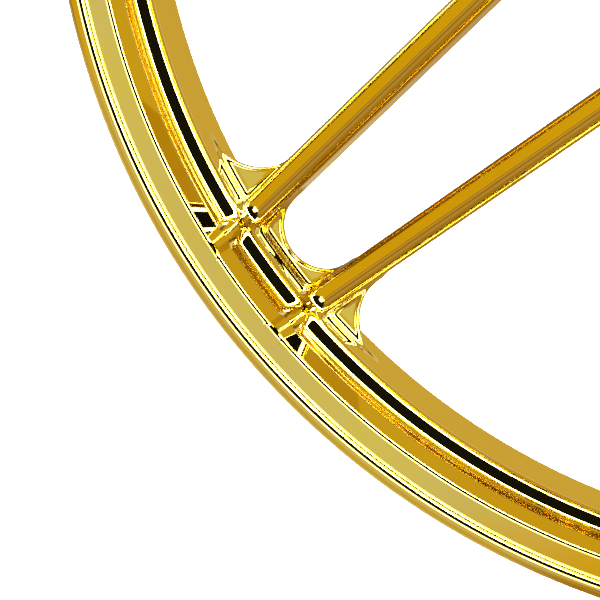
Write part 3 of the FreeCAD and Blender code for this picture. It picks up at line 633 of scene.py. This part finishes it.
def hub_end_face(side):
    """Flat end of the hub with five blind bolt holes.

    Each fifth of the ring is a grid between the hole's circle and the fifth's border: ring j of the grid is
    (1 - j / n) * circle + (j / n) * border.
    """
    steps = HUB_SEGMENTS // PAIRS
    parts = []
    for number in range(PAIRS):
        middle = BOLT_FIRST_ANGLE + number * TURN
        sweep = middle + np.linspace(-TURN / 2, TURN / 2, steps + 1)
        down = np.linspace(HUB_FACE_OUTER, HUB_FACE_INNER, HUB_FACE_STEPS + 1)
        radius = np.concatenate([np.full(steps, HUB_FACE_OUTER), down[:-1], np.full(steps, HUB_FACE_INNER),
                                 down[::-1][:-1]])
        angle = np.concatenate([sweep[:-1], np.full(HUB_FACE_STEPS, sweep[-1]), sweep[::-1][:-1],
                                np.full(HUB_FACE_STEPS, sweep[0])])
        border = np.stack([radius * np.cos(angle), radius * np.sin(angle)], axis=1)
        centre = BOLT_CIRCLE_RADIUS * np.array((np.cos(middle), np.sin(middle)))
        ray = border - centre
        ray /= np.linalg.norm(ray, axis=1, keepdims=True)
        count = len(border)
        rings = []
        ring_normals = []
        face_y = side * HUB_HALF_WIDTH
        up = np.array((0.0, side, 0.0))
        for share in np.linspace(1, 0, HUB_FACE_RINGS):
            flat = centre + ray * (BOLT_HOLE_RADIUS + BOLT_HOLE_EDGE)
            place = flat * (1 - share) + border * share
            rings.append((place, np.full(count, face_y)))
            ring_normals.append(np.tile(up, (count, 1)))
        inward = np.stack([-ray[:, 0], np.zeros(count), -ray[:, 1]], axis=1)
        wall = centre + ray * BOLT_HOLE_RADIUS
        for depth in (BOLT_HOLE_EDGE, BOLT_HOLE_DEPTH):
            rings.append((wall, np.full(count, face_y - side * depth)))
            ring_normals.append(inward)
        tip_normals = inward * BOLT_TIP_SLOPE[0] + up * BOLT_TIP_SLOPE[1]
        rings.append((wall, np.full(count, face_y - side * (BOLT_HOLE_DEPTH + BOLT_TIP_STEP))))
        ring_normals.append(tip_normals)
        tip = centre + ray * BOLT_TIP_RADIUS
        rings.append((tip, np.full(count, face_y - side * (BOLT_HOLE_DEPTH + BOLT_TIP_DEPTH))))
        ring_normals.append(tip_normals)
        points = np.concatenate([np.stack([p[:, 0], y, p[:, 1]], axis=1) for p, y in rings])
        normals = np.concatenate(ring_normals)
        row = np.arange(len(rings) - 1)[:, None] * count
        step = np.arange(count)[None, :]
        after = (step + 1) % count
        faces = np.stack([row + step, row + after, row + count + after, row + count + step], axis=-1)
        faces = faces.reshape(-1, 4)
        parts.append((points, outward_faces(points, faces, normals), normals))
    return parts


def welded(parts):
    """One surface from several, with points that share a place joined."""
    points = np.concatenate([p for p, _, _ in parts])
    normals = np.concatenate([n for _, _, n in parts])
    starts = np.cumsum([0] + [len(p) for p, _, _ in parts[:-1]])
    faces = np.concatenate([f + s for (_, f, _), s in zip(parts, starts)])
    _, first, group = np.unique(np.round(points, 3), axis=0, return_index=True, return_inverse=True)
    return points[first], group.ravel()[faces], normals[first]


def hub_surface():
    """Hub: outer wall, bore and two drilled end faces."""
    parts = []
    for outline in hub_outlines():
        points, normals = rounded_outline(outline, closed=False, step=HUB_ARC_STEP)
        points, faces, normals = revolve(points, normals, HUB_SEGMENTS, closed=False)
        parts.append((points, outward_faces(points, faces, normals), normals))
    for side in (1, -1):
        parts.extend(hub_end_face(side))
    return welded(parts)


def spring_ends():
    """Distances from the wheel's centre, along the valve, between which the spring's wire has its centre."""
    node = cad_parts["valve_core_spring"]
    reach = [-(node.matrix_world @ spot.co).dot(VALVE_WAY) / METRE for spot in node.data.vertices]
    return min(reach) + SPRING_WIRE_RADIUS, max(reach) - SPRING_WIRE_RADIUS


def spring_surface(low, high):
    """Coil spring on the valve's axis, with its wire's centre from low to high.

    At turn t the wire's centre is R * (cos t * across + sin t * side) + rise(t) * axis. The wire's skin is a
    circle round it, in the plane of the axis and the ray to the centre, and shrinks to a dot at both ends.
    """
    axis = -np.array(VALVE_WAY)
    across = np.array((0.0, 1.0, 0.0))
    side = np.cross(axis, across)
    rows = SPRING_TURNS * SPRING_TURN_STEPS + 1
    around = SPRING_WIRE_STEPS
    share = np.linspace(0, 1, rows)
    share = np.concatenate([share[:1], share, share[-1:]])
    wire = np.full(rows + 2, SPRING_WIRE_RADIUS)
    wire[[0, -1]] = SPRING_END_RADIUS
    turn = share * SPRING_TURNS * 2 * np.pi
    ray = np.cos(turn)[:, None] * across + np.sin(turn)[:, None] * side
    centre = ray * SPRING_COIL_RADIUS + (low + (high - low) * share)[:, None] * axis
    angle = np.linspace(0, 2 * np.pi, around, endpoint=False)
    normals = np.cos(angle)[None, :, None] * ray[:, None, :] + np.sin(angle)[None, :, None] * axis
    points = centre[:, None, :] + normals * wire[:, None, None]
    row = np.arange(rows + 1)[:, None] * around
    step = np.arange(around)[None, :]
    after = (step + 1) % around
    faces = np.stack([row + step, row + after, row + around + after, row + around + step], axis=-1)
    faces = faces.reshape(-1, 4)
    points = points.reshape(-1, 3)
    normals = normals.reshape(-1, 3)
    return points, outward_faces(points, faces, normals), normals


def turned(values, angle):
    """Places or normals with their polar angle raised by angle."""
    x, y, z = values.T
    return np.stack([x * np.cos(angle) - z * np.sin(angle), y, x * np.sin(angle) + z * np.cos(angle)], axis=1)


# ---------------------------------------------------------------- shader expressions

class Term:
    """A node socket that can stand in an arithmetic expression."""

    def __init__(self, graph, socket):
        self.graph = graph
        self.socket = socket

    def math(self, operation, *others, flip=False):
        inputs = [self, *others]
        if flip:
            inputs.reverse()
        return self.graph.add("ShaderNodeMath", inputs, operation=operation)

    def __add__(self, other):
        return self.math("ADD", other)

    def __sub__(self, other):
        return self.math("SUBTRACT", other)

    def __rsub__(self, other):
        return self.math("SUBTRACT", other, flip=True)

    def __mul__(self, other):
        return self.math("MULTIPLY", other)

    def __rmul__(self, other):
        return self.math("MULTIPLY", other, flip=True)

    def __truediv__(self, other):
        return self.math("DIVIDE", other)

    def __neg__(self):
        return self.math("MULTIPLY", -1.0)

    def sine(self):
        return self.math("SINE")

    def root(self):
        return self.math("SQRT")

    def arccosine(self):
        return self.math("ARCCOSINE")

    def least(self, other):
        return self.math("MINIMUM", other)

    def most(self, other):
        return self.math("MAXIMUM", other)

    def smooth_step(self, low, high):
        """0 below low, 1 above high, and t * t * (3 - 2 t) between them."""
        share = ((self - low) / (high - low)).most(0.0).least(1.0)
        return share * share * (3.0 - 2.0 * share)


class Graph:
    """Node tree of a material or a world."""

    def __init__(self, owner):
        owner.use_nodes = True
        self.tree = owner.node_tree
        self.tree.nodes.clear()

    def add(self, kind, inputs=(), output=0, **settings):
        """A new node with its settings, then its inputs by name or order. Returns the chosen output."""
        node = self.tree.nodes.new(kind)
        for key, value in settings.items():
            setattr(node, key, value)
        pairs = inputs.items() if isinstance(inputs, dict) else enumerate(inputs)
        for key, value in pairs:
            if isinstance(value, Term):
                self.tree.links.new(value.socket, node.inputs[key])
            elif value is not None:
                node.inputs[key].default_value = value
        return Term(self, node.outputs[output]) if len(node.outputs) else node

    def place(self):
        """Object coordinates, and their three components in millimetres."""
        coordinates = self.add("ShaderNodeTexCoord", output="Object")
        scaled = self.add("ShaderNodeVectorMath", {0: coordinates, "Scale": 1000.0}, operation="SCALE")
        parts = self.tree.nodes.new("ShaderNodeSeparateXYZ")
        self.tree.links.new(scaled.socket, parts.inputs[0])
        return scaled, [Term(self, parts.outputs[k]) for k in range(3)]

    def noise(self, vector, scale, detail=3.0):
        """Cloudy noise from 0 to 1 with features of about 1 / scale millimetres."""
        return self.add("ShaderNodeTexNoise", {"Vector": vector, "Scale": scale, "Detail": detail}, output=0)

    def mix(self, share, first, second):
        """Colour between first and second."""
        return self.add("ShaderNodeMix", {0: share, 6: first, 7: second}, output=2, data_type="RGBA")

    def ramp(self, share, stops):
        """Colour from stops of (place, colour), linear between them."""
        node = self.tree.nodes.new("ShaderNodeValToRGB")
        ramp = node.color_ramp
        ramp.elements[0].position, ramp.elements[0].color = stops[0][0], (*stops[0][1], 1)
        ramp.elements[1].position, ramp.elements[1].color = stops[-1][0], (*stops[-1][1], 1)
        for position, colour in stops[1:-1]:
            element = ramp.elements.new(position)
            element.color = (*colour, 1)
        self.tree.links.new(share.socket, node.inputs[0])
        return Term(self, node.outputs[0])


def surface(name, colour, roughness, metallic, bump=None, coat=0.0, **constants):
    """Material from a function of (graph, place, xyz) for the colour and one for the roughness."""
    material = bpy.data.materials.new(name)
    graph = Graph(material)
    place, xyz = graph.place()
    inputs = {"Base Color": colour(graph, place, xyz), "Roughness": roughness(graph, place, xyz),
              "Metallic": metallic, "Coat Weight": coat, **constants}
    if bump is not None:
        height, distance = bump(graph, place, xyz)
        inputs["Normal"] = graph.add(
            "ShaderNodeBump", {"Height": height, "Distance": distance, "Strength": 0.35})
    shader = graph.add("ShaderNodeBsdfPrincipled", inputs)
    graph.add("ShaderNodeOutputMaterial", {"Surface": shader})
    return material


def two_tone(first, second, scale, low=0.35, high=0.65):
    """Colour function that wanders between two colours."""
    def colour(graph, place, xyz):
        return graph.mix(graph.noise(place, scale).smooth_step(low, high), (*first, 1), (*second, 1))
    return colour


def wandering(base, spread, scale):
    """Roughness function: base plus spread times cloudy noise."""
    def roughness(graph, place, xyz):
        return graph.noise(place, scale) * spread + base
    return roughness


def turning_marks(graph, place, xyz):
    """Roughness of a turned face: fine rings about the axle that fade in and out."""
    x, _, z = xyz
    rings = ((x * x + z * z).root() * 9.0).sine()
    return rings * 0.03 + graph.noise(place, 0.12) * 0.08 + 0.16


def fine_grain(scale, distance):
    """Bump function of fine moulded grain."""
    def bump(graph, place, xyz):
        return graph.noise(place, scale, 4.0), distance
    return bump


GOLD = surface(
    "gold_chrome", two_tone((0.79, 0.585, 0.008), (0.76, 0.55, 0.005), 0.012),
    wandering(0.012, 0.02, 0.05), 1.0, coat=0.7, **{"Coat Roughness": 0.01})
RACE_STEEL = surface(
    "bearing_steel", two_tone((0.60, 0.61, 0.63), (0.52, 0.53, 0.56), 0.2), turning_marks, 1.0)
BALL_STEEL = surface(
    "bearing_ball_steel", two_tone((0.74, 0.75, 0.77), (0.68, 0.69, 0.72), 0.4),
    wandering(0.04, 0.06, 0.6), 1.0)
CAGE_STEEL = surface(
    "cage_steel", two_tone((0.46, 0.45, 0.43), (0.36, 0.35, 0.34), 0.5), wandering(0.3, 0.15, 0.8), 1.0)
SEAL_RUBBER = surface(
    "bearing_seal_rubber", two_tone((0.030, 0.030, 0.033), (0.045, 0.045, 0.048), 0.15),
    wandering(0.42, 0.15, 0.3), 0.0, fine_grain(3.0, 0.0002))
DUST_RUBBER = surface(
    "dust_seal_rubber", two_tone((0.020, 0.020, 0.021), (0.034, 0.033, 0.032), 0.12),
    wandering(0.5, 0.2, 0.25), 0.0, fine_grain(2.0, 0.0003))
COLLAR_STEEL = surface(
    "collar_steel", two_tone((0.70, 0.70, 0.72), (0.64, 0.64, 0.67), 0.08), turning_marks, 1.0)
SPRING_STEEL = surface(
    "spring_steel", two_tone((0.16, 0.16, 0.17), (0.10, 0.10, 0.12), 0.3), wandering(0.28, 0.12, 0.5), 1.0)
VALVE_METAL = surface(
    "valve_metal", two_tone((0.72, 0.72, 0.74), (0.66, 0.66, 0.69), 0.3), wandering(0.1, 0.1, 0.6), 1.0)
VALVE_RUBBER = surface(
    "valve_rubber", two_tone((0.025, 0.025, 0.026), (0.04, 0.04, 0.04), 0.3),
    wandering(0.5, 0.2, 0.6), 0.0, fine_grain(3.0, 0.0002))
VALVE_BRASS = surface(
    "valve_brass", two_tone((0.72, 0.52, 0.20), (0.62, 0.43, 0.15), 0.4), wandering(0.18, 0.12, 0.8), 1.0)
CAP_METAL = surface(
    "cap_metal", two_tone((0.73, 0.73, 0.75), (0.66, 0.66, 0.69), 0.3), wandering(0.08, 0.08, 0.6), 1.0)

CAD_FINISHES = {
    "bearing_inner_ring": RACE_STEEL, "bearing_outer_ring": RACE_STEEL, "bearing_balls": BALL_STEEL,
    "bearing_cage": CAGE_STEEL, "bearing_inboard_seal": SEAL_RUBBER, "bearing_outboard_seal": SEAL_RUBBER,
    "dust_seal": DUST_RUBBER, "axle_collar": COLLAR_STEEL, "bearing_spacer_tube": COLLAR_STEEL,
    "retaining_ring": SPRING_STEEL, "valve_stem": VALVE_METAL, "valve_nut": VALVE_METAL,
    "valve_washer": VALVE_METAL, "valve_grommet": VALVE_RUBBER, "valve_core_sleeve": VALVE_BRASS,
    "valve_core_pin": VALVE_BRASS, "valve_core_spring": SPRING_STEEL, "valve_cap": CAP_METAL,
}


# ---------------------------------------------------------------- the object

rim_piece = make_piece("rim", *rim_surface(), "wheel", "gold_chrome", GOLD)
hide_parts("rim_well", "rim_bead_seat_left", "rim_bead_seat_right", "rim_flange_left",
            "rim_flange_right")

hub_piece = make_piece("hub_casting", *hub_surface(), "wheel", "gold_chrome", GOLD)
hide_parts("hub")

pair_points, pair_faces, pair_normals = pair_surface()
for number in range(PAIRS):
    angle = number * TURN
    pair_piece = make_piece("spokes_" + str(number + 1), turned(pair_points, angle), pair_faces,
                            turned(pair_normals, angle), "wheel", "gold_chrome", GOLD)
    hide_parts("spoke_pair_" + str(number + 1))

spring_low, spring_high = spring_ends()
spring_piece = make_piece("core_spring", *spring_surface(spring_low, spring_high), "wheel", "spring_steel",
                          SPRING_STEEL)
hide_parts("valve_core_spring")
spring_length = spring_high - spring_low + 2 * SPRING_WIRE_RADIUS
spring_foot = -VALVE_WAY * (spring_high + SPRING_WIRE_RADIUS) * METRE
1 - PIN_TRAVEL / spring_length
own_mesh(spring_piece)

for node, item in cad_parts.items():
    for start, finish in CAD_FINISHES.items():
        if node.startswith(start):
            item.data.materials.clear()
            item.data.materials.append(finish)


# ---------------------------------------------------------------- floor, light and camera

FLOOR_HALF_SIZE = 40.0

floor_mesh = bpy.data.meshes.new("floor")
floor_z = -RIM_RADIUS * METRE
floor_corners = [(FLOOR_HALF_SIZE * a, FLOOR_HALF_SIZE * b, floor_z)
                 for a, b in ((-1, -1), (1, -1), (1, 1), (-1, 1))]
floor_mesh.from_pydata(floor_corners, [], [(0, 1, 2, 3)])
floor = bpy.data.objects.new("floor", floor_mesh)
bpy.context.scene.collection.objects.link(floor)
floor_material = bpy.data.materials.new("floor")
floor_graph = Graph(floor_material)
floor_shader = floor_graph.add("ShaderNodeBsdfPrincipled", {
    "Base Color": (0.9, 0.9, 0.9, 1), "Roughness": 0.9, "Emission Color": (1, 1, 1, 1),
    "Emission Strength": 1.0})
floor_graph.add("ShaderNodeOutputMaterial", {"Surface": floor_shader})
floor_mesh.materials.append(floor_material)
floor.visible_glossy = False


def light(red, green=None, blue=None):
    """Colour of a part of the room, divided by the ramps' common strength."""
    green = red if green is None else green
    blue = red if blue is None else blue
    return tuple(c / ROOM_STRENGTH for c in (red, green, blue))


def room_light():
    """Studio round the wheel.

    The ramps run over the angle between a direction and -Y, from 0 to 180 degrees. One ramp holds for
    directions up and forward, one for down and back, and one for each side of them. A white surround is all
    that the camera itself sees.
    """
    world = bpy.data.worlds.new("studio")
    bpy.context.scene.world = world
    graph = Graph(world)
    direction = graph.add("ShaderNodeTexCoord", output="Generated")
    parts = graph.tree.nodes.new("ShaderNodeSeparateXYZ")
    graph.tree.links.new(direction.socket, parts.inputs[0])
    x, y, z = [Term(graph, parts.outputs[k]) for k in range(3)]
    share = (-y).most(-1.0).least(1.0).arccosine() / np.pi
    across = (x * x + z * z).root().most(1e-5)
    forward = (x * np.cos(ROOM_TURN) + z * np.sin(ROOM_TURN)) / across
    sideways = (z * np.cos(ROOM_TURN) - x * np.sin(ROOM_TURN)) / across

    def ramp(stops):
        return graph.ramp(share, [(angle / 180, colour) for angle, colour in stops])

    upper = ramp(UPPER_STOPS)
    upper_left = ramp(UPPER_LEFT_STOPS)
    lower = ramp(LOWER_STOPS)
    lower_right = ramp(LOWER_RIGHT_STOPS)
    sides = graph.mix(sideways.smooth_step(*SIDE_FADE), lower_right, upper_left)
    colour = graph.mix(forward.smooth_step(*UPPER_FADE), sides, upper)
    colour = graph.mix((-forward).smooth_step(*LOWER_FADE), colour, lower)
    seen = graph.add("ShaderNodeLightPath", output="Is Camera Ray")
    room = graph.add("ShaderNodeBackground", {"Color": colour, "Strength": ROOM_STRENGTH})
    plain = graph.add("ShaderNodeBackground", {"Color": (1, 1, 1, 1), "Strength": 1.0})
    both = graph.add("ShaderNodeMixShader", [seen, room, plain])
    graph.add("ShaderNodeOutputWorld", {"Surface": both})


ROOM_STRENGTH = 40.0
ROOM_TURN = np.radians(40)
SIDE_FADE = (-0.25, 0.25)
UPPER_FADE = (0.35, 0.6)
LOWER_FADE = (0.88, 0.94)
UPPER_STOPS = [
    (0, light(0.85)), (10, light(0.85)), (13, light(8.0)), (26, light(8.0)), (29, light(0.012)),
    (75, light(0.010)), (77, light(34.0)), (104, light(34.0)), (106, light(0.06, 0.04, 0.02)),
    (107, light(0.06, 0.04, 0.02)), (109, light(0.78, 0.54, 0.04)), (129, light(0.8, 0.55, 0.05)),
    (133, light(0.25, 0.12, 0.02)), (137, light(0.25, 0.12, 0.02)), (141, light(1.0, 0.95, 0.8)),
    (147, light(1.0, 0.9, 0.6)), (152, light(0.75, 0.52, 0.1)), (180, light(0.62, 0.38, 0.03)),
]
UPPER_LEFT_STOPS = [
    (0, light(0.86, 0.57, 0.02)), (72, light(0.86, 0.57, 0.02)), (77, light(0.25, 0.115, 0.02)),
    (85, light(0.25, 0.115, 0.02)), (91, light(0.66, 0.55, 0.6)), (126, light(0.6, 0.5, 0.55)),
    (136, light(0.32, 0.30, 0.3)), (180, light(0.3, 0.27, 0.2)),
]
LOWER_STOPS = [
    (0, light(0.86, 0.6, 0.1)), (6.9, light(0.86, 0.58, 0.05)), (7.6, light(0.85)), (20, light(0.8)),
    (40, light(0.8, 0.62, 0.3)), (70, light(0.75, 0.55, 0.15)), (95, light(0.8, 0.7, 0.4)),
    (110, light(0.9)), (180, light(0.62, 0.42, 0.1)),
]
LOWER_RIGHT_STOPS = [
    (0, light(0.86, 0.58, 0.05)), (5, light(0.86, 0.57, 0.02)), (6.5, light(0.5, 0.3, 0.03)),
    (10, light(0.5, 0.3, 0.03)), (13, light(0.74, 0.52, 0.3)), (19, light(0.72, 0.5, 0.26)),
    (24, light(0.42, 0.24, 0.03)), (28, light(0.42, 0.24, 0.03)), (38, light(0.64, 0.44, 0.2)),
    (46, light(0.64, 0.44, 0.2)), (58, light(0.5, 0.3, 0.06)), (120, light(0.5, 0.3, 0.06)),
    (180, light(0.5, 0.32, 0.12)),
]
room_light()

CAMERA_PLACE = Vector((0.0758, -2.2664, 0.0040))
CAMERA_YAW = -0.12175
CAMERA_PITCH = -0.07525
CAMERA_ROLL = -0.00438
CAMERA_LENS = 382.8
forward = Vector((np.sin(CAMERA_YAW) * np.cos(CAMERA_PITCH), np.cos(CAMERA_YAW) * np.cos(CAMERA_PITCH),
                  np.sin(CAMERA_PITCH)))
level = Vector((np.cos(CAMERA_YAW), -np.sin(CAMERA_YAW), 0.0))
above = level.cross(forward)
right = level * np.cos(CAMERA_ROLL) + above * np.sin(CAMERA_ROLL)
up = above * np.cos(CAMERA_ROLL) - level * np.sin(CAMERA_ROLL)
camera_data = bpy.data.cameras.new("camera")
camera_data.sensor_width = 36.0
camera_data.lens = CAMERA_LENS
camera_data.clip_end = 200.0
camera = bpy.data.objects.new("camera", camera_data)
bpy.context.scene.collection.objects.link(camera)
camera.matrix_world = Matrix((
    (right.x, up.x, -forward.x, CAMERA_PLACE.x), (right.y, up.y, -forward.y, CAMERA_PLACE.y),
    (right.z, up.z, -forward.z, CAMERA_PLACE.z), (0, 0, 0, 1)))
bpy.context.scene.camera = camera
bpy.context.scene.view_settings.view_transform = "Standard"
